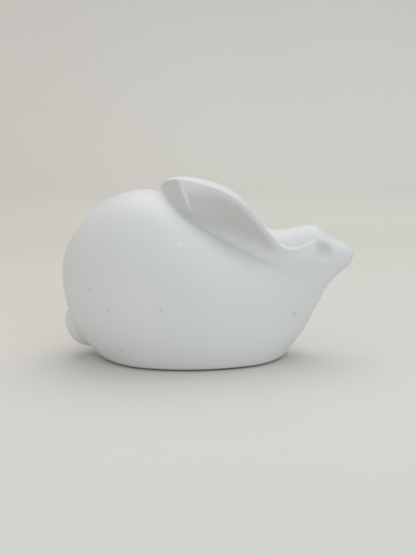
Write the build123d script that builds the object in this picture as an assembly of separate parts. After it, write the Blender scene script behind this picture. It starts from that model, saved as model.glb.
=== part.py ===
from build123d import *

import math
import os

# A crouching rabbit ornament in matt white ceramic.
# A drain-cast hollow shell makes the trunk and head.  Two ears and a tail, formed on
# their own, are bedded into shallow seats in its wall.  A pierced slab closes the open
# foot, and a felt pad under it lifts the glazed edge off the table.
# Millimetres, +Z up, +X towards the nose, origin on the table under the middle.

# Overall sizes
LENGTH = 150.0  # rump to nose
BACK_HEIGHT = 87.0  # table to the top of the back
WIDTH = 82.0  # across the haunches

# Shell
WALL = 6.0
MUZZLE_FILL = 26.0  # solid clay behind the nose tip, where the two walls meet
SEAT_DEPTH = 3.5  # how deep an ear or the tail is bedded into the wall

# Foot
FELT_THICKNESS = 0.9
FELT_INSET = 2.6  # from the edge of the foot
FOOT_RING = 7.0  # clay left around the opening in the foot
SLAB_THICKNESS = 4.0
SLAB_RECESS = 0.8  # how far the slab lies above the foot ring
SLAB_JOINT = 0.1  # slip in the joint all round the slab
VENT_RADIUS = 3.0

# Ears
EAR_LENGTH = 71.0  # root to tip, along the rim
EAR_UPPER = 10.9  # from the midline to the upper edge at its widest
EAR_LOWER = 9.8  # from the midline to the lower edge at its widest
EAR_CUP = 5.0  # depth of the hollow
EAR_RIM = 2.4  # width of the rim round the hollow
EAR_APART = 38.0  # between the midlines of the two rims
EAR_PITCH = 35.0  # degrees that the ear rises towards the back
EAR_TILT = 30.0  # degrees that the hollow looks up from the level
EAR_DRAFT = 6.8  # how far the ear's rear wall runs back between its rim and the middle
EAR_VALLEY = 2.0  # how far the ear's top falls between its rim and the middle
EAR_LUTE = 0.1  # slip in the joint between the two ears

# Tail
TAIL_LENGTH = 26.0
TAIL_DIAMETER = 18.0
TAIL_LEAN = 28.0  # degrees that its top leans back from the upright

# Eyes
EYE_LENGTH = 9.0
EYE_HEIGHT = 5.4
EYE_DEPTH = 1.2
EYE_SLANT = 24.0  # degrees that the eye drops towards the nose

# Outlines of the body: shares of LENGTH from the middle, and of BACK_HEIGHT or half WIDTH
RUMP = (-0.5, 0.505)
BACK_LINE = [
    RUMP,
    (-0.470, 0.700),
    (-0.383, 0.900),
    (-0.255, 1.000),
    (-0.120, 0.985),
    (0.055, 0.895),
    (0.225, 0.778),
    (0.345, 0.790),
    (0.408, 0.742),
    (0.465, 0.690),
    (0.5, 0.648),
]
BELLY_LINE = [
    RUMP,
    (-0.483, 0.330),
    (-0.432, 0.155),
    (-0.355, 0.035),
    (-0.260, -0.065),
    (-0.055, -0.150),
    (0.155, -0.085),
    (0.258, 0.012),
    (0.330, 0.150),
    (0.400, 0.345),
    (0.455, 0.510),
    (0.5, 0.570),
]
FLANK_LINE = [
    (-0.5, 0.0),
    (-0.472, 0.380),
    (-0.400, 0.705),
    (-0.265, 0.960),
    (-0.110, 1.000),
    (0.060, 0.880),
    (0.200, 0.670),
    (0.300, 0.490),
    (0.390, 0.330),
    (0.460, 0.205),
    (0.5, 0.100),
]
WIDEST_LINE = [RUMP, (-0.20, 0.430), (0.12, 0.430), (0.33, 0.560), (0.5, 0.610)]
BODY_SPANS = 24  # spaces between the body's sections, shortest at its ends
SECTION_SPANS = 14  # spaces between the points of a half section, from top to bottom
SURFACE_ERROR = 0.02  # how far the body's surface may pass from those points
SURFACE_DEGREE = 5
TIP = 0.5  # the outlines run this far past the small flats that end the body
FULLNESS = 2.1  # 2 makes an elliptical section, more a squarer one

# Outlines of the ear: shares of its length from the root, and of its upper or lower size
EAR_UPPER_LINE = [(0.0, 0.05), (0.25, 0.47), (0.50, 0.95), (0.68, 0.97), (0.88, 0.58), (1.0, 0.0)]
EAR_LOWER_LINE = [(0.0, 0.55), (0.35, 0.97), (0.70, 1.0), (0.84, 0.86), (0.94, 0.45), (1.0, 0.0)]
EAR_SPANS = 9  # spaces between the sections of the hollow
EAR_POINTS = 16  # points round each of them
EAR_ROOT_X = 0.293  # share of LENGTH
EAR_ROOT_Z = 0.620  # share of BACK_HEIGHT

# Places on the body, as shares of LENGTH and BACK_HEIGHT
TAIL_X, TAIL_Z = -0.432, 0.160
EYE_X, EYE_Z = 0.382, 0.690

HALVINGS = 36  # steps in the search for a curve's height over a place
EGG_SPANS = 16  # spaces between the points of the tail's and eyes' forms, each way

UP, DOWN = Vector(0, 0, 1), Vector(0, 0, -1)
CLIMBING, FALLING = Vector(1, 0, 1), Vector(1, 0, -1)


def outline(points, length, across, tangents=()):
    """A smooth curve in the XZ plane through shares of a length and of a size across it."""
    scaled = [Vector(length * x, 0, across * z) for x, z in points]
    return Spline(*scaled, tangents=tangents)


RUN = LENGTH + 2 * TIP
BACK = outline(BACK_LINE, RUN, BACK_HEIGHT, (UP, FALLING))
BELLY = outline(BELLY_LINE, RUN, BACK_HEIGHT, (DOWN, CLIMBING))
FLANK = outline(FLANK_LINE, RUN, WIDTH / 2, (UP, FALLING))
WIDEST = outline(WIDEST_LINE, RUN, BACK_HEIGHT)
EAR_TOP = outline(EAR_UPPER_LINE, EAR_LENGTH, EAR_UPPER)
EAR_BOTTOM = outline(EAR_LOWER_LINE, EAR_LENGTH, EAR_LOWER)


def height_over(curve, x, inset=0.0):
    """Height of a curve over x, after shifting it to its right by inset."""

    def shifted(share):
        along = curve.tangent_at(share)
        return curve.position_at(share) + Vector(along.Z, 0, -along.X) * inset

    low, high = 0.0, 1.0
    for _ in range(HALVINGS):
        middle = (low + high) / 2
        if shifted(middle).X < x:
            low = middle
        else:
            high = middle
    return shifted(low).Z


def spaced(first, last, count):
    """Stations between two ends, closest together near both."""
    half = (last - first) / 2
    return [first + half * (1 - math.cos(math.pi * i / count)) for i in range(count + 1)]


def section_sizes(x, inset=0.0):
    """Top, bottom, half width and height of the widest point of the body's section at x."""
    top = height_over(BACK, x, inset)
    bottom = height_over(BELLY, x, -inset)
    half_width = height_over(FLANK, x, inset)
    widest = min(max(height_over(WIDEST, x), bottom), top)
    return top, bottom, half_width, widest


def half_section(x, inset):
    """Points from the top to the bottom of the body's left half at station x, inset deep."""
    top, bottom, half_width, widest = section_sizes(x, inset)
    points = [Vector(x, 0, top)]
    for i in range(1, SECTION_SPANS):
        turn = math.pi / 2 - math.pi * i / SECTION_SPANS
        across, upward = math.cos(turn), math.sin(turn)
        reach = top - widest if upward > 0 else widest - bottom
        y = half_width * across ** (2 / FULLNESS)
        z = widest + reach * math.copysign(abs(upward) ** (2 / FULLNESS), upward)
        points.append(Vector(x, y, z))
    points.append(Vector(x, 0, bottom))
    return points


def mirrored_solid(rows):
    """A solid from rows of points on its left half, with a flat on its first and last row."""
    left = Face.make_surface_from_array_of_points(rows, tol=SURFACE_ERROR, max_deg=SURFACE_DEGREE)
    arcs = left.edges().sort_by(SortBy.LENGTH)[:2]
    ends = [Face(Wire([arc, arc.mirror(Plane.XZ)])) for arc in arcs]
    return Solid(Shell([left, left.mirror(Plane.XZ), *ends]))


def body_solid(inset=0.0, nose_stop=0.0):
    """The body's rounded form above the foot, lying inset under its outer surface.

    It ends in small flats at the rump and nose, or nose_stop behind the nose tip.
    """
    rear = -LENGTH / 2 + inset
    front = LENGTH / 2 - (nose_stop or inset)
    form = mirrored_solid([half_section(x, inset) for x in spaced(rear, front, BODY_SPANS)])
    return split(form, bisect_by=Plane.XY.offset(FELT_THICKNESS), keep=Keep.TOP)


def ear_outline(place):
    """Closed leaf on a plane: its root at the origin, its tip along X, its upper edge at -Y."""
    above = [Vector(x * EAR_LENGTH, -y * EAR_UPPER) for x, y in EAR_UPPER_LINE]
    below = [Vector(x * EAR_LENGTH, y * EAR_LOWER) for x, y in EAR_LOWER_LINE[-2::-1]]
    points = [place.from_local_coords(point) for point in above + below]
    return Wire([Spline(*points, periodic=True)])


def ear_hollow():
    """What is scooped out of an ear: a long rounded form along X, a rim's width inside the leaf."""
    first, last = EAR_RIM, EAR_LENGTH - 2 * EAR_RIM
    widest = (EAR_UPPER + EAR_LOWER) / 2 - EAR_RIM
    sections = []
    for i in range(EAR_SPANS + 1):
        x = first + (last - first) * i / EAR_SPANS
        upper = -height_over(EAR_TOP, x, EAR_RIM)
        lower = height_over(EAR_BOTTOM, x, EAR_RIM)
        middle, half = (lower + upper) / 2, (lower - upper) / 2
        depth = EAR_CUP * math.sqrt(half / widest)
        points = []
        for k in range(EAR_POINTS):
            turn = 2 * math.pi * k / EAR_POINTS
            points.append(Vector(x, middle + half * math.cos(turn), depth * math.sin(turn)))
        sections.append(Wire([Spline(*points, periodic=True)]))
    return Solid.make_loft(sections)


def flank_at(x, z):
    """Half width of the body's outer surface at station x and height z."""
    top, bottom, half_width, widest = section_sizes(x)
    reach = top - widest if z > widest else widest - bottom
    share = min(abs(z - widest) / reach, 1.0)
    return half_width * (1 - share**FULLNESS) ** (1 / FULLNESS)


def right_rim():
    """Plane of the right ear's rim: its root at the origin, X towards the tip, Z outwards."""
    pitch, tilt = math.radians(EAR_PITCH), math.radians(EAR_TILT)
    rising = Vector(-math.cos(pitch), 0, math.sin(pitch))
    facing = Vector(math.sin(pitch) * math.sin(tilt), -math.cos(tilt), math.cos(pitch) * math.sin(tilt))
    root = Vector(EAR_ROOT_X * LENGTH, -EAR_APART / 2, EAR_ROOT_Z * BACK_HEIGHT)
    return Plane(origin=root, x_dir=rising, z_dir=facing)


def right_ear_block():
    """The right ear from its rim to the middle plane, before its hollow is scooped out."""
    rim = right_rim()
    inner = Vector(rim.origin.X - EAR_DRAFT, -EAR_LUTE / 2, rim.origin.Z - EAR_VALLEY)
    middle = Plane(origin=inner, x_dir=rim.x_dir, z_dir=(0, -1, 0))
    return Solid.make_loft([ear_outline(middle), ear_outline(rim)], ruled=True)


def egg(length, diameter):
    """A rounded form standing along Z about the origin, with small flats at its ends."""
    rows = []
    for i in range(1, EGG_SPANS):
        level = math.pi * i / EGG_SPANS
        z, radius = -length / 2 * math.cos(level), diameter / 2 * math.sin(level)
        turns = [math.pi * k / EGG_SPANS for k in range(EGG_SPANS + 1)]
        rows.append([Vector(radius * math.cos(t), radius * math.sin(t), z) for t in turns])
    return mirrored_solid(rows)


def tail_blank():
    """The scut, an egg standing on the rump with its top leaning back."""
    place = Location((TAIL_X * LENGTH, 0, TAIL_Z * BACK_HEIGHT), (0, -TAIL_LEAN, 0))
    return place * egg(TAIL_LENGTH, TAIL_DIAMETER)


def eye_hollow(side):
    """A shallow almond hollow in the head; side is -1 on the right, +1 on the left."""
    x, z = EYE_X * LENGTH, EYE_Z * BACK_HEIGHT
    y = flank_at(x, z) + EYE_HEIGHT / 2 - EYE_DEPTH
    return Location((x, side * y, z), (0, 90 + EYE_SLANT, 0)) * egg(EYE_LENGTH, EYE_HEIGHT)


def foot_oval(foot, inset, clearance=0.0):
    """An oval inside the foot's outline, inset from its edge."""
    half_length = foot.size.X / 2 - inset - clearance
    half_width = foot.size.Y / 2 - inset - clearance
    return Pos(foot.center().X, foot.center().Y) * Ellipse(half_length, half_width)


body = body_solid()
seat = body_solid(inset=SEAT_DEPTH)
cavity = body_solid(inset=WALL, nose_stop=MUZZLE_FILL)
foot = body.faces().sort_by(Axis.Z)[0].bounding_box()

ear_block = right_ear_block()
right_ear = ear_block - right_rim().location * ear_hollow() - seat
left_ear = mirror(right_ear, about=Plane.XZ)
tail = tail_blank() - seat

slab_bottom = FELT_THICKNESS + SLAB_RECESS
slab_top = slab_bottom + SLAB_THICKNESS
opening = extrude(foot_oval(foot, FOOT_RING), slab_top)
seats = [ear_block - seat, mirror(ear_block - seat, about=Plane.XZ), tail]
body_shell = body - cavity - opening - seats - [eye_hollow(-1), eye_hollow(1)]

vent = Pos(foot.center().X, foot.center().Y) * Circle(VENT_RADIUS)
base_slab = Pos(0, 0, slab_bottom) * extrude(foot_oval(foot, FOOT_RING, SLAB_JOINT) - vent, SLAB_THICKNESS)
felt_pad = extrude(foot_oval(foot, FELT_INSET), FELT_THICKNESS)

nodes = {
    "body_shell": body_shell,
    "base_slab": base_slab,
    "right_ear": right_ear,
    "left_ear": left_ear,
    "tail": tail,
    "felt_pad": felt_pad,
}

os.makedirs("parts", exist_ok=True)
for name, shape in nodes.items():
    export_step(shape, f"parts/{name}.step")
    box = shape.bounding_box()
    print(f"{name}: {len(shape.solids())} solid, {shape.volume:.0f} mm3, x {box.min.X:.1f} to {box.max.X:.1f},"
          f" y {box.min.Y:.1f} to {box.max.Y:.1f}, z {box.min.Z:.1f} to {box.max.Z:.1f}")
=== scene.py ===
import math

import bpy
import numpy as np
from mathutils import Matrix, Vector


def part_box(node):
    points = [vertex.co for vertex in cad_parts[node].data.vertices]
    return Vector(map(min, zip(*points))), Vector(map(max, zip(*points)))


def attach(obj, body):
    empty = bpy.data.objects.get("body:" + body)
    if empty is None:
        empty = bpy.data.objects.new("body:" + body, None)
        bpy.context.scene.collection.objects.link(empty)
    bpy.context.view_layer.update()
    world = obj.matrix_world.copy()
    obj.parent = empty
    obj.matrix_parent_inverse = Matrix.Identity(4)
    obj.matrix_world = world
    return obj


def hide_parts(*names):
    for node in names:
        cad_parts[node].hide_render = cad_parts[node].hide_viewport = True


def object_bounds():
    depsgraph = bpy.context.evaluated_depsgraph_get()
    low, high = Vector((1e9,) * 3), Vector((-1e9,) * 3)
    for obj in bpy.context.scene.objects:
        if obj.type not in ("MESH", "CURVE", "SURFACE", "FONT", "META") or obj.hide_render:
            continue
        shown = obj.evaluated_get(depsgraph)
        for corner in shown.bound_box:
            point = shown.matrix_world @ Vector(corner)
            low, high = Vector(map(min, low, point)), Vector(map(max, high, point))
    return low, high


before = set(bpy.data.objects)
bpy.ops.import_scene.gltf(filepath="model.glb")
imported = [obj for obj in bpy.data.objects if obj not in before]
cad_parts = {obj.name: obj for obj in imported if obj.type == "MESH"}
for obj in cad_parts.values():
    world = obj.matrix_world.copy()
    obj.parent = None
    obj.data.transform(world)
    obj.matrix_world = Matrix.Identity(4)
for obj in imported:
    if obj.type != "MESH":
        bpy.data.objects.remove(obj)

import openvdb
from mathutils import Vector

cad_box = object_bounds()


# Trunk and head: drain-cast in one go from white clay, hollow, with the opening under the foot.
# The form is written in millimetres as a distance to its surface, below zero inside the clay, so that the
# other pieces can be modelled into it. Its sections are ovals, with brow, cheeks and eyes worked on them.
MM = 0.001

TRUNK_BACK = [(-75, 44), (-72.5, 56.5), (-67, 67), (-58, 77), (-46, 83.8), (-34, 86.4), (-24.5, 84.6),
              (-17, 79.6), (-9, 73.6), (0, 68), (8, 63.2), (17, 58.2), (26, 53.8), (34, 48.8),
              (41, 39.8), (45, 29.5), (47, 19)]
TRUNK_BELLY = [(-75, 44), (-74.3, 36), (-71.5, 25), (-67, 14.8), (-60.5, 6.6), (-54.5, 1), (-48.2, -3),
               (-41.7, -7), (-20, -14.7), (0, -16), (13, -14), (24.5, -10.5), (32.6, -4.6), (38.3, 0.9),
               (43, 9), (47, 19)]
TRUNK_FLANK = [(-75, 0), (-72.5, 13), (-66, 23.5), (-55, 32.5), (-40, 39), (-20, 41.2), (0, 39.3),
               (14, 35), (27, 28.5), (37, 20.5), (43.5, 12), (47, 0)]
TRUNK_WIDEST = [(-75, 44), (-50, 40), (-15, 34), (10, 28), (30, 22), (47, 19)]
TRUNK_FULLNESS = (2.8, 2.45)

HEAD_BACK = [(-5, 50), (5, 62), (18, 66.5), (30, 66.4), (37, 65.8), (42, 66.5), (51, 68.4), (57, 67),
             (62, 63), (67, 60.5), (71.5, 58.3), (75, 54.5)]
HEAD_BELLY = [(-5, 50), (5, 32), (18, 15), (30, 5), (39, 4), (46, 10), (52, 18.5), (57, 28), (61, 35.8),
              (65, 41), (69.5, 45), (73.3, 48.3), (75, 54.5)]
HEAD_FLANK = [(-5, 0), (5, 12), (18, 16), (30, 17.8), (40, 18.2), (48, 17.2), (54, 15.2), (62, 11.8),
              (68, 9), (72.5, 6.2), (75, 0)]
HEAD_WIDEST = [(-5, 50), (18, 47), (35, 46), (45, 48), (55, 51.5), (66, 53), (75, 54.5)]
HEAD_FULLNESS = (2.1, 2.1)
NECK_BLEND = 9.0

OVAL_STATIONS = 1500
OVAL_END_TURN = 0.03
LEAST_GIRTH = 1e-6
LEAST_STEEPNESS = 1e-4


def smooth_line(points):
    """The natural cubic through the points, straight on past its ends, as a function."""
    places, values = np.array(points, float).T
    gaps = np.diff(places)
    rises = np.diff(values) / gaps
    last = len(gaps)
    balance = np.eye(last + 1)
    pull = np.zeros(last + 1)
    for i in range(1, last):
        balance[i, i - 1:i + 2] = gaps[i - 1], 2 * (gaps[i - 1] + gaps[i]), gaps[i]
        pull[i] = 6 * (rises[i] - rises[i - 1])
    bend = np.linalg.solve(balance, pull)
    first_rise = rises[0] - gaps[0] * bend[1] / 6
    last_rise = rises[-1] + gaps[-1] * bend[-2] / 6

    def value_at(place):
        inside = np.clip(place, places[0], places[-1])
        i = np.clip(np.searchsorted(places, inside) - 1, 0, last - 1)
        after = inside - places[i]
        before = gaps[i] - after
        value = (bend[i] * before ** 3 + bend[i + 1] * after ** 3) / (6 * gaps[i])
        value = value + (values[i] / gaps[i] - bend[i] * gaps[i] / 6) * before
        value = value + (values[i + 1] / gaps[i] - bend[i + 1] * gaps[i] / 6) * after
        past = np.where(place < inside, first_rise, last_rise)
        return value + past * (place - inside)

    return value_at


def oval_form(back, belly, flank, widest, fullness):
    """Distance to a form whose cross sections are ovals between its lines, closed round at both ends.

    Fullness is given above and below the widest level: 2 makes half an ellipse, more a squarer oval.
    """
    full_above, full_below = fullness
    middle = (flank[0][0] + flank[-1][0]) / 2
    half = (flank[-1][0] - flank[0][0]) / 2
    turn = np.linspace(OVAL_END_TURN, math.pi - OVAL_END_TURN, OVAL_STATIONS)
    station = middle - half * np.cos(turn)

    def along(line):
        return smooth_line([(math.acos((middle - x) / half), value) for x, value in line])(turn)

    level_at = along(widest)
    flank_at = along(flank)
    plump_at = flank_at / np.sin(turn)
    over_at = (flank_at / (along(back) - level_at)) ** full_above
    under_at = (flank_at / (level_at - along(belly))) ** full_below
    swell_at = np.gradient(plump_at, station)

    def distance(x, y, z):
        level, plump, swell, over, under = (
            np.interp(x, station, line) for line in (level_at, plump_at, swell_at, over_at, under_at))
        wide = np.abs(y)
        tall = np.abs(z - level)
        ratio = np.where(z > level, over, under)
        full = np.where(z > level, full_above, full_below)
        girth = np.maximum(wide ** full + ratio * tall ** full, LEAST_GIRTH) ** (1 / full)
        lengthwise = (x - middle) / half
        share = np.sqrt((girth / plump) ** 2 + lengthwise ** 2)
        spread = 2.0 * girth ** (2.0 - full) / plump ** 2
        across = spread * wide ** (full - 1)
        upward = spread * ratio * tall ** (full - 1)
        endways = 2.0 * lengthwise / half - 2.0 * girth ** 2 * swell / plump ** 3
        steepness = np.sqrt(across ** 2 + upward ** 2 + endways ** 2)
        return 2.0 * share * (share - 1.0) / np.maximum(steepness, LEAST_STEEPNESS)

    return distance


def soft_max(a, b, blend):
    """The larger of two distances, with the corner between them rounded over about the blend."""
    share = np.clip(0.5 + 0.5 * (a - b) / blend, 0.0, 1.0)
    return b + (a - b) * share + blend * share * (1.0 - share)


def soft_min(a, b, blend):
    return -soft_max(-a, -b, blend)


def ease(value, start, stop):
    """Rises smoothly from 0 at start to 1 at stop."""
    share = np.clip((value - start) / (stop - start), 0.0, 1.0)
    return share * share * (3.0 - 2.0 * share)


# Names that end in RISES, SINKS, FALLS, STARTS, FADES and the like give where a change begins and ends.
BROW_LINE = [(28, 72), (32, 66.4), (34, 62.6), (37, 59.6), (41.8, 58.3), (47, 59.6), (52, 61.8),
             (58, 63.2), (63, 63.4)]
BROW_SLOPE = 0.8
BROW_ROUND = 1.2
CHEEK_RAISE = 1.9
CHEEK_RISES = (28.0, 38.0)
CHEEK_SINKS = (45.0, 60.0)
CHEEK_FALLS = (5.0, 18.0)
CHEEK_STARTS = (4.0, 10.0)
CHEEK_ROUND = 0.5
CHEEK_BULGE = (52.7, 53.7)
BULGE_HEIGHT = 0.7
BULGE_SPREAD = (30.0, 20.0)
EYE_PLACE = (58.2, 57.0)
EYE_SLANT = math.radians(32)
EYE_HALF_LENGTH = 6.5
EYE_ABOVE = 4.6
EYE_BELOW = 6.5
EYE_DEPTH = 3.0

plain_trunk = oval_form(TRUNK_BACK, TRUNK_BELLY, TRUNK_FLANK, TRUNK_WIDEST, TRUNK_FULLNESS)
plain_head = oval_form(HEAD_BACK, HEAD_BELLY, HEAD_FLANK, HEAD_WIDEST, HEAD_FULLNESS)
brow_line = smooth_line(BROW_LINE)


def eye_press(x, z):
    """How far the thumb went in for the eye, from 0 outside it to 1 in its middle."""
    forward = x - EYE_PLACE[0]
    above = z - EYE_PLACE[1]
    along = (math.cos(EYE_SLANT) * forward - math.sin(EYE_SLANT) * above) / EYE_HALF_LENGTH
    across = math.sin(EYE_SLANT) * forward + math.cos(EYE_SLANT) * above
    across = np.where(across > 0, across / EYE_ABOVE, across / EYE_BELOW)
    return np.clip(1.0 - along ** 2 - across ** 2, 0.0, 1.0) ** 2


def head_form(x, y, z):
    """Distance to the head and neck, with the cheeks standing a little proud and the eyes pressed in."""
    plain = plain_head(x, y, z)
    below_brow = brow_line(x) - z
    raised = CHEEK_RAISE * ease(x, *CHEEK_RISES) * (1.0 - ease(x, *CHEEK_SINKS))
    raised = raised * (1.0 - ease(below_brow, *CHEEK_FALLS))
    cheek = soft_max(plain - raised, -BROW_SLOPE * below_brow, BROW_ROUND)
    head = plain + (soft_min(plain, cheek, CHEEK_ROUND) - plain) * ease(np.abs(y), *CHEEK_STARTS)
    ahead = (x - CHEEK_BULGE[0]) ** 2 / BULGE_SPREAD[0]
    above = (z - CHEEK_BULGE[1]) ** 2 / BULGE_SPREAD[1]
    return head + EYE_DEPTH * eye_press(x, z) - BULGE_HEIGHT * np.exp(-ahead - above)


def trunk_form(x, y, z):
    return soft_min(plain_trunk(x, y, z), head_form(x, y, z), NECK_BLEND)


# Ears: two leaves laid back along the neck, each a thick block of clay from its rim to the middle of the
# back, luted on and hollowed with a loop tool. The upper rim is narrow, the lower one is a soft lip, and a
# thin ridge parts the hollow from the rear wall at the tip.
EAR_ROOT = (44.0, 54.0)
EAR_PITCH = math.radians(35)
EAR_UPPER_LINE = [(0, 5.5), (4.3, 2.8), (7.1, 1.5), (10, 1.1), (13.4, 1.6), (19.6, 3.2), (27, 5.2),
                  (35.2, 7), (42.3, 7.4), (49.5, 6.5), (57, 4.4), (63.4, 1.9), (70.4, -2), (73.3, -4)]
EAR_LOWER_LINE = [(0, -9.5), (10, -10.3), (20, -11.3), (31, -13.5), (44, -17), (58, -21.5), (70, -25)]
EAR_REAR_LINE = ((57.5, -9.8), (70.4, -2))
EAR_REACH_LINE = [(0, 19), (8, 20.8), (20, 21.8), (38, 21.6), (50, 20), (58, 17.6), (65, 14), (73.3, 8.5)]
LINE_STEP = 0.5
ROOT_SINK = 6.0
ROOT_FALL = 12.0
SPINE_ROUND = 1.5

EAR_VALLEY = 3.6
VALLEY_REACH = 20.0
EAR_GROOVE = 3.4
GROOVE_WIDTH = 2.8
GROOVE_FADES = (40.0, 62.0)
TIP_GROOVE_SHARE = 0.5
EAR_FLARE = 0.55
REAR_FLARE = 1.55
REAR_LEAN = 0.25
REAR_LEAN_STARTS = (50.0, 66.0)
REAR_LEAN_DEPTH = 16.0
REAR_SPREAD = 0.04
REAR_SPREAD_DEPTH = 10.0

EAR_RIM = 1.7
EAR_CUP = 9.0
CUP_START = (2.0, 22.0)
CUP_UPPER_WALL = 20.0
CUP_SHALLOWS = (32.0, 58.0)
REAR_CUP_SHARE = 0.28
CUP_FALL = 0.85
LIP_SHARE = 0.8
LIP_SLOPE = 8.0
LIP_FADES = (4.0, 64.0)
REAR_RIM = 0.1
REAR_RIDGE_SLOPE = 1.0
REAR_RIDGE_FADES = (-18.0, -5.0)

RIM_ROUND = 1.3
LIP_ROUND = 2.6
LIP_ROUND_STARTS = (-6.0, 10.0)
TIP_ROUND = 0.8
TIP_ROUND_STARTS = (-14.0, -3.0)
UPPER_EDGE_ROUND = 1.0
REAR_EDGE_ROUND = 1.5

ear_upper = smooth_line(EAR_UPPER_LINE)
ear_lower = smooth_line(EAR_LOWER_LINE)
ear_reach = smooth_line(EAR_REACH_LINE)
rear_way = np.subtract(EAR_REAR_LINE[1], EAR_REAR_LINE[0]) / math.dist(*EAR_REAR_LINE)


def past_edge(line, rise, across):
    """How far a point lies above a line on the ear, square to the line."""
    lean = (line(rise + LINE_STEP) - line(rise - LINE_STEP)) / (2 * LINE_STEP)
    return (across - line(rise)) / np.sqrt(1.0 + lean ** 2)


def on_ear(x, y, z):
    """A place as seen from the nearer ear: along it, across it, and how deep behind its rim."""
    forward = x - EAR_ROOT[0]
    above = z - EAR_ROOT[1]
    rise = math.sin(EAR_PITCH) * above - math.cos(EAR_PITCH) * forward
    across = math.sin(EAR_PITCH) * forward + math.cos(EAR_PITCH) * above
    sunk = np.clip(ROOT_SINK - rise, 0.0, None) ** 2 / ROOT_FALL
    below_upper = np.clip(ear_upper(rise) - across, 0.0, REAR_LEAN_DEPTH)
    lean = REAR_LEAN * below_upper * ease(rise, *REAR_LEAN_STARTS)
    return rise, across, ear_reach(rise) + lean - np.hypot(y, SPINE_ROUND) - sunk


def ear_form(x, y, z):
    """Distance to the nearer ear."""
    rise, across, behind = on_ear(x, y, z)
    inward = np.clip(behind, 0.0, None)
    past_upper = past_edge(ear_upper, rise, across)
    past_lower = -past_edge(ear_lower, rise, across)
    tip_rise, tip_across = EAR_REAR_LINE[1]
    past_rear = (rise - tip_rise) * rear_way[1] - (across - tip_across) * rear_way[0]

    # The block flares out behind its rim, and its top falls to a groove at the middle of the back.
    rear_flare = REAR_FLARE + REAR_SPREAD * np.clip(-past_upper, 0.0, REAR_SPREAD_DEPTH)
    under = soft_max(past_lower - EAR_FLARE * inward, past_rear - rear_flare * inward, REAR_EDGE_ROUND)
    groove = EAR_GROOVE * np.exp(-(y / GROOVE_WIDTH) ** 2)
    groove = groove * (1.0 - (1.0 - TIP_GROOVE_SHARE) * ease(rise, *GROOVE_FADES))
    wall = soft_max(past_upper + EAR_VALLEY * inward / VALLEY_REACH, under, UPPER_EDGE_ROUND) + groove
    low_down = ease(past_lower - past_upper, *LIP_ROUND_STARTS)
    rounding = RIM_ROUND + (LIP_ROUND - RIM_ROUND) * low_down
    rounding = rounding + (TIP_ROUND - rounding) * ease(past_rear, *TIP_ROUND_STARTS)
    block = soft_max(wall, -behind, rounding)

    # The hollow deepens from the upper rim down, and comes up again to the lip and to the ridge at the rear.
    under_rim = np.clip(-(past_upper + EAR_RIM) / CUP_UPPER_WALL, 0.0, 1.0)
    lip = LIP_SHARE * (1.0 - ease(rise, *LIP_FADES))
    lip = lip * (1.0 - ease(-past_lower, EAR_RIM, EAR_RIM + LIP_SLOPE))
    ridge = 1.0 - ease(-past_rear, REAR_RIM, REAR_RIM + REAR_RIDGE_SLOPE)
    ridge = ridge * ease(across, *REAR_RIDGE_FADES)
    shallower = (1.0 - REAR_CUP_SHARE) * ease(rise, *CUP_SHALLOWS)
    depth = EAR_CUP * ease(rise, *CUP_START) * (1.0 - shallower)
    cup = depth * under_rim * (1.0 - lip) * (1.0 - ridge)
    return soft_max(block, CUP_FALL * (cup - behind), rounding)


# Tail: a small egg of the same clay, rolled between the hands and luted to the rump just above the foot.
# It leans back a little, so that its upper end lies against the body and its lower end stands clear.
TAIL_CENTRE = (-64.0, 16.8)
TAIL_LENGTH = 24.6
TAIL_WIDTH = 20.0
TAIL_LEAN = math.radians(28)


def tail_form(x, y, z):
    back = x - TAIL_CENTRE[0]
    up = z - TAIL_CENTRE[1]
    lengthwise = math.cos(TAIL_LEAN) * up - math.sin(TAIL_LEAN) * back
    crosswise = math.cos(TAIL_LEAN) * back + math.sin(TAIL_LEAN) * up
    along = (lengthwise * 2 / TAIL_LENGTH) ** 2
    around = (crosswise ** 2 + y * y) * 4 / TAIL_WIDTH ** 2
    return (np.sqrt(along + around) - 1.0) * TAIL_WIDTH / 2


# Luting: the ears and the tail are pressed on with slip, the joints are sponged, and the foot is cut level.
# The skin of the whole form is found first, then parted along the joints, so that the pieces meet exactly,
# and each piece is closed by a seat in the clay behind its joint.
EAR_JOINT = 2.0
BACK_JOINT = 6.0
BACK_JOINT_FADES = (3.0, 12.0)
TAIL_JOINT = 1.2
FOOT_LEVEL = 0.9
FOOT_ROUND = 0.6
SLAB_JOINT = 0.1
SEAT_DEPTH = 4.0
EAR_SEAT = (22.0, 0.0, 48.0)
TAIL_SEAT = (-56.0, 0.0, 14.0)

slab_box = np.array(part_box("base_slab")) / MM
slab_middle = slab_box.mean(0)
opening_half = (slab_box[1] - slab_box[0]) / 2 + SLAB_JOINT


def clay_form(x, y, z):
    """Distance to the whole luted figure."""
    ear_joint = BACK_JOINT + (EAR_JOINT - BACK_JOINT) * ease(np.abs(y), *BACK_JOINT_FADES)
    joined = soft_min(trunk_form(x, y, z), ear_form(x, y, z), ear_joint)
    joined = soft_min(joined, tail_form(x, y, z), TAIL_JOINT)
    level_foot = soft_max(joined, FOOT_LEVEL - z, FOOT_ROUND)
    outside = np.hypot((x - slab_middle[0]) / opening_half[0], (y - slab_middle[1]) / opening_half[1]) - 1.0
    opening = soft_max(outside * opening_half[1], z - slab_box[1][2] - SLAB_JOINT, FOOT_ROUND)
    return soft_max(level_foot, -opening, FOOT_ROUND)


GRAIN = 0.7
MARGIN = 3.0
SLICES_AT_ONCE = 24
SLOPE_STEP = 0.08
SETTLE_ROUNDS = 4
LEAST_SLOPE = 0.05


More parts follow.
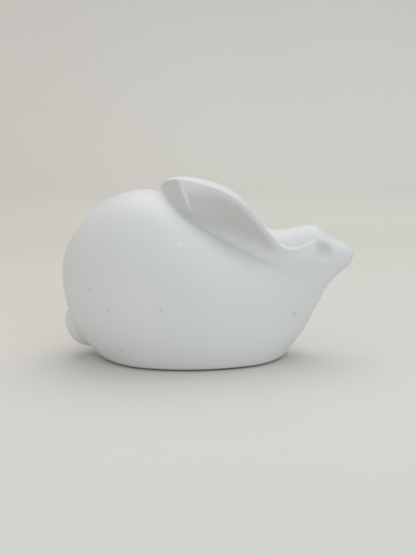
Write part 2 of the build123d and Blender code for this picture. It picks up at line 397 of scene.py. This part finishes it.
def skin_of(form, low, high):
    """Corners and four-sided faces of a form's surface inside a box."""
    x, y, z = (np.arange(a - MARGIN, b + MARGIN, GRAIN) for a, b in zip(low, high))
    level = np.empty((len(x), len(y), len(z)), np.float32)
    for first in range(0, len(x), SLICES_AT_ONCE):
        slices = slice(first, first + SLICES_AT_ONCE)
        level[slices] = form(x[slices, None, None], y[None, :, None], z[None, None, :])
    grid = openvdb.FloatGrid(background=MARGIN)
    grid.copyFromArray(level)
    corners, _, fours = grid.convertToPolygons(isovalue=0.0, adaptivity=0.0)
    return corners * GRAIN + np.array([x[0], y[0], z[0]]), np.asarray(fours)


def steepest(form, points):
    """The form's distance at points, and its slope there."""
    slope = np.empty_like(points)
    for axis in range(3):
        step = np.zeros(3)
        step[axis] = SLOPE_STEP
        slope[:, axis] = (form(*(points + step).T) - form(*(points - step).T)) / (2 * SLOPE_STEP)
    return form(*points.T), slope


low, high = (np.array(corner) / MM for corner in cad_box)
corners, faces = skin_of(clay_form, low, high)
for _ in range(SETTLE_ROUNDS):
    distance, slope = steepest(clay_form, corners)
    move = distance[:, None] * slope / np.maximum((slope ** 2).sum(1), LEAST_SLOPE)[:, None]
    corners = corners - np.clip(move, -GRAIN / 2, GRAIN / 2)
slope = steepest(clay_form, corners)[1]
outward = slope / np.linalg.norm(slope, axis=1)[:, None]

# Painted shade: the glaze colour is greyed where the skin is sheltered, along the ear joints, in the ear
# hollows and in the eyes, to stand for the shade that falls there.
SHELTER_REACHES = (1.0, 4.0, 20.0)
JOINT_SHADE = 0.42
JOINT_SHADE_WIDTH = 1.3
JOINT_SHADE_FADES = (16.0, 40.0)
HOLLOW_SHADE = 0.36
HOLLOW_STARTS = (0.15, 0.8)
UPWARD_FADES = (0.4, 0.75)
LIP_PALES = (-8.0, 14.0)
LIP_BAND = (1.0, 6.0)
EYE_SHADE = 0.2


def painted_hollow_shade():
    """How much painted shade each corner of the skin gets, from 0 to 1: it greys the sheltered hollows, the
    ear joints, the ear hollows where they don't face up, and the eyes, standing in for the shade there.
    """
    sheltered = np.zeros(len(corners))
    for reach in SHELTER_REACHES:
        clear = clay_form(*(corners + reach * outward).T) / reach
        sheltered += np.clip(1.0 - clear, 0.0, 1.0) / len(SHELTER_REACHES)
    x, y, z = corners.T
    from_joint = trunk_form(x, y, z) - ear_form(x, y, z)
    in_joint = ease(np.abs(y), *BACK_JOINT_FADES) * (1.0 - ease(x, *JOINT_SHADE_FADES))
    in_joint = in_joint * np.exp(-(from_joint / JOINT_SHADE_WIDTH) ** 2)
    on_lip = ease(x, *LIP_PALES) * (1.0 - ease(from_joint, *LIP_BAND))
    in_hollow = ease(on_ear(x, y, z)[2], *HOLLOW_STARTS) * (from_joint > 0) * (1.0 - on_lip)
    in_hollow = in_hollow * (1.0 - ease(outward[:, 2], *UPWARD_FADES))
    shade_masks = (sheltered ** 2, JOINT_SHADE * in_joint, HOLLOW_SHADE * in_hollow, EYE_SHADE * eye_press(x, z))
    return np.max(shade_masks, axis=0)


shade_at_corners = painted_hollow_shade()

BODY, RIGHT_EAR, LEFT_EAR, TAIL = range(4)
middle = corners[faces].mean(1)
trunk_near, ear_near, tail_near = (form(*middle.T) for form in (trunk_form, ear_form, tail_form))
owner = np.full(len(faces), BODY)
is_ear = (ear_near < trunk_near) & (ear_near < tail_near)
owner[is_ear] = np.where(middle[is_ear, 1] < 0, RIGHT_EAR, LEFT_EAR)
owner[(tail_near < trunk_near) & (tail_near < ear_near)] = TAIL


def parted(piece, name):
    """One piece of the skin, closed by seats in the clay behind its joints."""
    own_faces = faces[owner == piece]
    used, numbers = np.unique(own_faces, return_inverse=True)
    numbers = numbers.reshape(own_faces.shape)

    # An edge of the joint is one that no face of the piece runs along the other way.
    edges = np.stack([numbers, np.roll(numbers, -1, axis=1)], axis=2).reshape(-1, 2)
    there = edges[:, 0].astype(np.int64) * len(used) + edges[:, 1]
    back = edges[:, 1].astype(np.int64) * len(used) + edges[:, 0]
    open_edges = edges[~np.isin(there, back)]
    joint = np.unique(open_edges)

    # The seat goes straight in from the joint's edge, then closes to a point inside the clay.
    deep = np.zeros(len(used), int)
    deep[joint] = len(used) + np.arange(len(joint))
    places = np.vstack([corners[used], corners[used][joint] - SEAT_DEPTH * outward[used][joint]])
    directions = np.vstack([outward[used], outward[used][joint]])
    # Each corner carries its share of painted shade; the hidden seats get it in full.
    shade_share = np.append(shade_at_corners[used], np.ones(len(joint)))
    first, second = open_edges.T
    seats = np.column_stack([second, first, deep[first], deep[second]]).tolist()
    at_tail = places[first, 2] < (EAR_SEAT[2] + TAIL_SEAT[2]) / 2
    for rim, seat in ((open_edges[~at_tail], EAR_SEAT), (open_edges[at_tail], TAIL_SEAT)):
        if len(rim):
            point = np.full(len(rim), len(places))
            seats += np.column_stack([deep[rim[:, 1]], deep[rim[:, 0]], point]).tolist()
            places = np.vstack([places, seat])
            directions = np.vstack([directions, (0.0, 0.0, 1.0)])
            shade_share = np.append(shade_share, 1.0)

    mesh = bpy.data.meshes.new(name)
    mesh.from_pydata((places * MM).tolist(), [], numbers.tolist() + seats)
    mesh.shade_smooth()
    mesh.normals_split_custom_set_from_vertices(directions.tolist())
    mesh.attributes.new("painted_shade", "FLOAT", "POINT").data.foreach_set("value", shade_share)
    piece_object = bpy.data.objects.new(name, mesh)
    bpy.context.scene.collection.objects.link(piece_object)
    return piece_object


clay_pieces = {
    "body_shell": parted(BODY, "glazed_body"),
    "right_ear": parted(RIGHT_EAR, "glazed_right_ear"),
    "left_ear": parted(LEFT_EAR, "glazed_left_ear"),
    "tail": parted(TAIL, "glazed_tail"),
}


# Glaze: a matt white dip over the body, ears and tail, fired in one coat. It is slightly cloudy, is wiped
# off the edge of the foot, and has a few pinholes and marks of use. Painted shade greys it in the hollows,
# joints and eyes, and the pinholes and the dents round them are painted dark as their shade.
GLAZE_COOL = (217, 219, 221)
GLAZE_WARM = (226, 226, 223)
CLOUD_SCALE = 22.0
DRIFT_GREY = (212, 213, 213)
DRIFT_SCALE = 90.0
DRIFT_SHARE = 0.25
# The grey of the painted shade in the hollows, joints and eyes.
PAINTED_SHADE_GREY = (166, 162, 150)
WIPED_CLAY = (206, 200, 186)
WIPED_BELOW = (2.2, 1.2)
WIPED_SHARE = 0.7
SATIN = 0.44
SATIN_RANGE = 0.14
SATIN_SCALE = 160.0
PEEL_SCALE = 700.0
PEEL_DEPTH = 0.4
PEEL_STRENGTH = 0.08

# Pinholes: each dark dot and the grey ring round it are painted shade of a small pit in the glaze and its
# dent, which the skin doesn't model.
PINHOLES = [(-57.6, 40.4), (-48.0, 31.8), (-22.2, 32.3), (-42.9, 9.9), (55.5, 62.2)]
PINHOLE_SIZE = 0.55
PINHOLE_SHARE = 0.42
PINHOLE_SHADE_GREY = (120, 116, 108)
DIMPLE_SIZE = 1.9
DIMPLE_SHARE = 0.12
DIMPLE_SHADE_GREY = (150, 147, 142)
SMUDGE = (43.6, 25.4)
SMUDGE_SIZE = 2.4
SMUDGE_SHARE = 0.22
SMUDGE_GREY = (150, 147, 146)
SCUFF = (-13.5, 63.6)
SCUFF_SIZE = 2.4
SCUFF_SHARE = 0.35
SCUFF_WHITE = (236, 237, 238)
MARK_CORE = 0.2


class Value:
    """A node's output, on which sums are written as sums."""

    def __init__(self, finish, socket):
        self.finish = finish
        self.socket = socket

    def maths(self, operation, other):
        return self.finish.node("ShaderNodeMath", {"operation": operation}, {0: self, 1: other})

    def __add__(self, other):
        return self.maths("ADD", other)

    def __mul__(self, other):
        return self.maths("MULTIPLY", other)

    __radd__ = __add__
    __rmul__ = __mul__


class Finish:
    """A material whose nodes are added one by one."""

    def __init__(self, name):
        self.material = bpy.data.materials.new(name)
        self.material.use_nodes = True
        self.tree = self.material.node_tree
        self.tree.nodes.clear()

    def node(self, kind, settings=None, sockets=None, output=0):
        made = self.tree.nodes.new(kind)
        for key, setting in (settings or {}).items():
            setattr(made, key, setting)
        for key, value in (sockets or {}).items():
            if isinstance(value, Value):
                self.tree.links.new(value.socket, made.inputs[key])
            else:
                made.inputs[key].default_value = value
        return Value(self, made.outputs[output])

    def place(self):
        return self.node("ShaderNodeTexCoord", output="Object")

    def noise(self, place, scale, detail):
        return self.node("ShaderNodeTexNoise", sockets={"Vector": place, "Scale": scale, "Detail": detail})

    def mixed(self, share, first, second):
        colours = {"Factor": share, 6: first, 7: second}
        return self.node("ShaderNodeMix", {"data_type": "RGBA"}, colours, output=2)

    def along(self, place, axis, start, stop):
        """How far along an axis a place is, from 0 at start to 1 at stop."""
        side = self.node("ShaderNodeSeparateXYZ", sockets={"Vector": place}, output=axis)
        return self.node("ShaderNodeMapRange", sockets={"Value": side, "From Min": start, "From Max": stop})

    def bump(self, height, strength, depth):
        sockets = {"Height": height, "Strength": strength, "Distance": depth * MM}
        return self.node("ShaderNodeBump", sockets=sockets)

    def surface(self, sockets):
        shader = self.node("ShaderNodeBsdfPrincipled", sockets=sockets)
        out = self.tree.nodes.new("ShaderNodeOutputMaterial")
        self.tree.links.new(shader.socket, out.inputs["Surface"])
        return self.material


def linear(colour):
    """A colour given as on a screen, 0 to 255, as light, by the screen's standard curve."""
    shares = (value / 255 for value in colour)
    return tuple(s / 12.92 if s <= 0.04045 else ((s + 0.055) / 1.055) ** 2.4 for s in shares) + (1.0,)


def on_near_side(x, z):
    """The place on the rabbit's right side that shows at x and z, in metres."""
    near_side = corners[corners[:, 1] <= 0]
    away = np.hypot(near_side[:, 0] - x, near_side[:, 2] - z)
    return near_side[np.argmin(away)] * MM


def matt_white_glaze():
    glaze = Finish("matt_white_glaze")
    place = glaze.place()
    clouds = glaze.noise(place, CLOUD_SCALE, detail=3.0)
    drifts = glaze.noise(place, DRIFT_SCALE, detail=4.0)
    coat = glaze.mixed(clouds, linear(GLAZE_COOL), linear(GLAZE_WARM))
    coat = glaze.mixed(drifts * DRIFT_SHARE, coat, linear(DRIFT_GREY))
    # Painted shade: this grey darkens the hollows, joints and eyes.
    shade_share = glaze.node("ShaderNodeAttribute", {"attribute_name": "painted_shade"}, output="Fac")
    coat = glaze.mixed(shade_share, coat, linear(PAINTED_SHADE_GREY))

    def marked(colour, where, size, share, tint):
        ends = {0: place, 1: on_near_side(*where)}
        away = glaze.node("ShaderNodeVectorMath", {"operation": "DISTANCE"}, ends, output="Value")
        faded = {"Value": away, "From Min": size * MM, "From Max": size * MM * MARK_CORE}
        spot = glaze.node("ShaderNodeMapRange", {"interpolation_type": "SMOOTHSTEP"}, faded)
        return glaze.mixed(spot * share, colour, linear(tint))

    # Painted shade of each pinhole's pit and of the dent round it.
    for pinhole in PINHOLES:
        coat = marked(coat, pinhole, DIMPLE_SIZE, DIMPLE_SHARE, DIMPLE_SHADE_GREY)
        coat = marked(coat, pinhole, PINHOLE_SIZE, PINHOLE_SHARE, PINHOLE_SHADE_GREY)
    coat = marked(coat, SMUDGE, SMUDGE_SIZE, SMUDGE_SHARE, SMUDGE_GREY)
    coat = marked(coat, SCUFF, SCUFF_SIZE, SCUFF_SHARE, SCUFF_WHITE)
    wiped = glaze.along(place, "Z", WIPED_BELOW[0] * MM, WIPED_BELOW[1] * MM)
    coat = glaze.mixed(wiped * WIPED_SHARE, coat, linear(WIPED_CLAY))
    satin = SATIN + glaze.noise(place, SATIN_SCALE, detail=3.0) * SATIN_RANGE
    peel = glaze.bump(glaze.noise(place, PEEL_SCALE, detail=2.0), PEEL_STRENGTH, PEEL_DEPTH)
    return glaze.surface({"Base Color": coat, "Roughness": satin, "Normal": peel})


glaze_material = matt_white_glaze()
for node, piece in clay_pieces.items():
    piece.data.materials.append(glaze_material)
    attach(piece, "root")
    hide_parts(node)


# Base slab: an oval cut from a rolled sheet of the same clay, luted into the opening of the foot.
# It stays unglazed, so that the foot doesn't stick to the kiln shelf, and shows the clay's fine grain.
CLAY_DARK = (214, 206, 192)
CLAY_LIGHT = (232, 226, 214)
CLAY_ROUGHNESS = 0.85
CLAY_GRAIN_SCALE = 300.0
CLAY_GRAIN_DEPTH = 0.3
CLAY_GRAIN_STRENGTH = 0.3


def bare_clay():
    clay = Finish("bare_clay")
    grain = clay.noise(clay.place(), CLAY_GRAIN_SCALE, detail=4.0)
    colour = clay.mixed(grain, linear(CLAY_DARK), linear(CLAY_LIGHT))
    rough = clay.bump(grain, CLAY_GRAIN_STRENGTH, CLAY_GRAIN_DEPTH)
    return clay.surface({"Base Color": colour, "Roughness": CLAY_ROUGHNESS, "Normal": rough})


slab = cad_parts["base_slab"]
slab.data.materials.clear()
slab.data.materials.append(bare_clay())


# Felt pad: an oval cut with scissors from a sheet of pressed wool felt, glued under the foot ring
# so that the foot doesn't scratch the table. Its cut edge is a little uneven and worn round.
FELT_WORN = 0.25
FELT_SNIPS = [(0.16, 5, 1.0), (0.10, 13, 0.4)]
FELT_SIDES = 144
FELT_RINGS = 12
FELT_RING_SHARES = (0.95, 0.06)
FELT_EDGE_STEPS = 9
FELT_DARK = (112, 105, 96)
FELT_LIGHT = (156, 148, 136)
FELT_FLECK = (170, 163, 152)
FLECK_SCALE = 350.0
FLECK_SHARE = 0.4
FELT_ROUGHNESS = 0.95
FIBRE_SCALE = 1500.0
FIBRE_DEPTH = 0.3
FIBRE_STRENGTH = 0.6

felt_box = np.array(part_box("felt_pad")) / MM
felt_middle = felt_box.mean(0)
felt_half = (felt_box[1] - felt_box[0]) / 2


def felt_mesh():
    """The oval as rings from the middle of its underside, round the worn edge, to the middle of its top."""
    low_z, high_z = felt_box[0][2], felt_box[1][2]
    inward = [share * felt_half[1] for share in np.linspace(*FELT_RING_SHARES, FELT_RINGS)]
    profile = [(inset, low_z) for inset in inward]
    for turn in np.linspace(0.0, math.pi, FELT_EDGE_STEPS):
        inset = FELT_WORN * (1.0 - math.sin(turn))
        profile.append((inset, felt_middle[2] - felt_half[2] * math.cos(turn)))
    profile += [(inset, high_z) for inset in reversed(inward)]
    angles = np.linspace(0.0, 2 * math.pi, FELT_SIDES, endpoint=False)
    snips = sum(depth * (np.sin(count * angles + start) - 1.0) for depth, count, start in FELT_SNIPS)
    places = []
    for inset, height in profile:
        keep = 1.0 - inset / felt_half[1]
        lengthwise = felt_middle[0] + (felt_half[0] + snips) * keep * np.cos(angles)
        aside = felt_middle[1] + (felt_half[1] + snips) * keep * np.sin(angles)
        places += np.column_stack([lengthwise, aside, np.full(FELT_SIDES, height)]).tolist()
    faces = []
    for ring in range(len(profile) - 1):
        for side in range(FELT_SIDES):
            here = ring * FELT_SIDES + side
            beside = ring * FELT_SIDES + (side + 1) % FELT_SIDES
            faces.append((here, beside, beside + FELT_SIDES, here + FELT_SIDES))
    last = (len(profile) - 1) * FELT_SIDES
    faces.append(tuple(reversed(range(FELT_SIDES))))
    faces.append(tuple(range(last, last + FELT_SIDES)))
    mesh = bpy.data.meshes.new("felt_oval")
    mesh.from_pydata((np.array(places) * MM).tolist(), [], faces)
    mesh.shade_smooth()
    return mesh


def pressed_felt():
    felt = Finish("pressed_felt")
    place = felt.place()
    fibres = felt.noise(place, FIBRE_SCALE, detail=4.0)
    flecks = felt.noise(place, FLECK_SCALE, detail=3.0)
    colour = felt.mixed(fibres, linear(FELT_DARK), linear(FELT_LIGHT))
    colour = felt.mixed(flecks * FLECK_SHARE, colour, linear(FELT_FLECK))
    nap = felt.bump(fibres, FIBRE_STRENGTH, FIBRE_DEPTH)
    return felt.surface({"Base Color": colour, "Roughness": FELT_ROUGHNESS, "Normal": nap})


felt_oval = bpy.data.objects.new("felt_oval", felt_mesh())
felt_oval.data.materials.append(pressed_felt())
bpy.context.scene.collection.objects.link(felt_oval)
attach(felt_oval, "root")
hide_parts("felt_pad")
felt_cut = (2 * felt_half[1] * MM, 2 * felt_half[0] * MM)
math.pi / 4 * felt_cut[0] * felt_cut[1]


# Stage: a pale sweep of paper under a large soft light overhead, with a cooler window light in front.
# The camera stands where the photograph was taken from. Sizes here are in metres.
CAMERA_AWAY = 0.480
CAMERA_RAISED = math.radians(10)
CAMERA_AIM = (0.0, 0.0, 0.041)
CAMERA_LENS = 60.0

camera_data = bpy.data.cameras.new("camera")
camera_data.lens = CAMERA_LENS
camera = bpy.data.objects.new("camera", camera_data)
camera.location = (
    CAMERA_AIM[0],
    CAMERA_AIM[1] - CAMERA_AWAY * math.cos(CAMERA_RAISED),
    CAMERA_AIM[2] + CAMERA_AWAY * math.sin(CAMERA_RAISED),
)
camera.rotation_euler = (math.pi / 2 - CAMERA_RAISED, 0.0, 0.0)
bpy.context.scene.collection.objects.link(camera)
bpy.context.scene.camera = camera

SWEEP_FRONT = -6.0
SWEEP_BEND = 1.0
SWEEP_RADIUS = 0.6
SWEEP_BEND_START = 0.1
SWEEP_STEPS = 16
SWEEP_TOP = 2.4
SWEEP_SIDE = 4.0

# The paper's colours carry painted light: darker towards the far floor, lighter up the wall, warmer at the
# left and cooler at the right, as the lamps fall on the sweep.
PAPER_NEAR = ((220, 216, 209), (218, 218, 215))
PAPER_FAR = ((204, 200, 190), (206, 206, 200))
PAPER_WALL = ((226, 223, 217), (229, 229, 224))
PAPER_SIDES = (-0.3, 0.3)
PAPER_RECEDES = (-0.1, 0.4)
PAPER_CLIMBS = (0.5, 1.6)
PAPER_CLOUD = (206, 203, 196)
PAPER_CLOUD_SCALE = 6.0
PAPER_CLOUD_SHARE = 0.1
PAPER_ROUGHNESS = 0.9


def pale_paper():
    paper = Finish("pale_paper")
    place = paper.place()
    across = paper.along(place, "X", *PAPER_SIDES)
    away = paper.along(place, "Y", *PAPER_RECEDES)
    climb = paper.along(place, "Y", *PAPER_CLIMBS)
    papers = (PAPER_NEAR, PAPER_FAR, PAPER_WALL)
    # Painted light: the colour grades across, away and up the sweep as the light falls on it.
    near, far, wall = (paper.mixed(across, linear(left), linear(right)) for left, right in papers)
    colour = paper.mixed(climb, paper.mixed(away, near, far), wall)
    clouds = paper.noise(place, PAPER_CLOUD_SCALE, detail=2.0)
    colour = paper.mixed(clouds * PAPER_CLOUD_SHARE, colour, linear(PAPER_CLOUD))
    return paper.surface({"Base Color": colour, "Roughness": PAPER_ROUGHNESS})


sweep = bpy.data.meshes.new("paper_sweep")
profile = [(SWEEP_FRONT, 0.0), (SWEEP_BEND, 0.0)]
for turn in np.linspace(SWEEP_BEND_START, math.pi / 2, SWEEP_STEPS):
    back = SWEEP_BEND + SWEEP_RADIUS * math.sin(turn)
    profile.append((back, SWEEP_RADIUS - SWEEP_RADIUS * math.cos(turn)))
profile.append((SWEEP_BEND + SWEEP_RADIUS, SWEEP_TOP))
sweep_corners = [(side, y, z) for y, z in profile for side in (-SWEEP_SIDE, SWEEP_SIDE)]
sweep_faces = [(2 * i, 2 * i + 1, 2 * i + 3, 2 * i + 2) for i in range(len(profile) - 1)]
sweep.from_pydata(sweep_corners, [], sweep_faces)
sweep.shade_smooth()
sweep.materials.append(pale_paper())
floor = bpy.data.objects.new("paper_sweep", sweep)
bpy.context.scene.collection.objects.link(floor)

ROOM_LIGHT = 0.735


def soft_light(name, size, energy, colour, location):
    """A square lamp that faces the middle of the floor."""
    light = bpy.data.lights.new(name, "AREA")
    light.shape = "SQUARE"
    light.size = size
    light.energy = energy
    light.color = colour
    lamp = bpy.data.objects.new(name, light)
    lamp.location = location
    lamp.rotation_euler = Vector(location).to_track_quat("Z", "Y").to_euler()
    bpy.context.scene.collection.objects.link(lamp)


soft_light("overhead", size=1.0, energy=4.4, colour=(1.0, 1.0, 0.985), location=(0.1, 0.48, 1.0))
soft_light("window", size=1.2, energy=4.7, colour=(0.64, 0.86, 1.0), location=(0.8, -1.45, 0.35))

world = bpy.data.worlds.new("room")
world.use_nodes = True
background = world.node_tree.nodes["Background"]
background.inputs["Color"].default_value = (1.0, 1.0, 1.0, 1.0)
background.inputs["Strength"].default_value = ROOM_LIGHT
bpy.context.scene.world = world
bpy.context.scene.view_settings.view_transform = "Standard"
